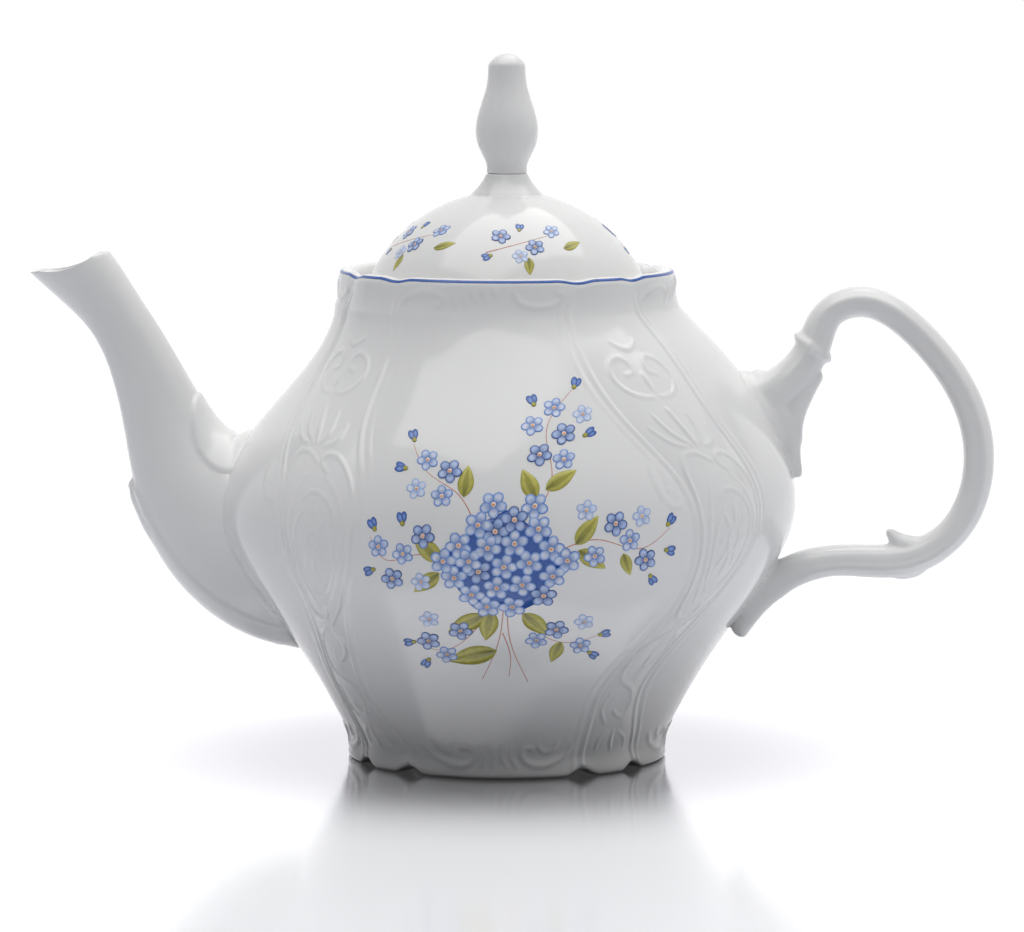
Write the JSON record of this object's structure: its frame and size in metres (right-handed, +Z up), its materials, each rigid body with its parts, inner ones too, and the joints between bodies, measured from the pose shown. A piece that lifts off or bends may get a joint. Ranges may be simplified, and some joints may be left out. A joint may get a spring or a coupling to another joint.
{
  "type": "porcelain teapot",
  "caption": "Lobed white porcelain teapot with a gooseneck spout, a scroll handle and a lift-off domed lid with a baluster knob; holds and pours tea.",
  "frame": {"origin": "centre of the foot, on the surface that the pot stands on", "axes": "+Z up along the pot's axis; the spout points along -X and the handle along +X"},
  "size_m": [0.2647, 0.158, 0.1931],
  "materials": {
    "porcelain": "glossy white glaze",
    "blue_enamel": "glossy on-glaze colour",
    "leaf_enamel": "glossy on-glaze colour",
    "rose_enamel": "glossy on-glaze colour"
  },
  "bodies": {
    "pot": {"pot_body": "porcelain", "spout": "porcelain", "handle": "porcelain"},
    "lid": {"lid": "porcelain", "lid_knob": "porcelain"}
  },
  "joints": [
    {"name": "lid_lift", "type": "slide", "parent": "pot", "child": "lid", "axis": [0, 0, 1], "range_m": [0, 0.1]}
  ]
}
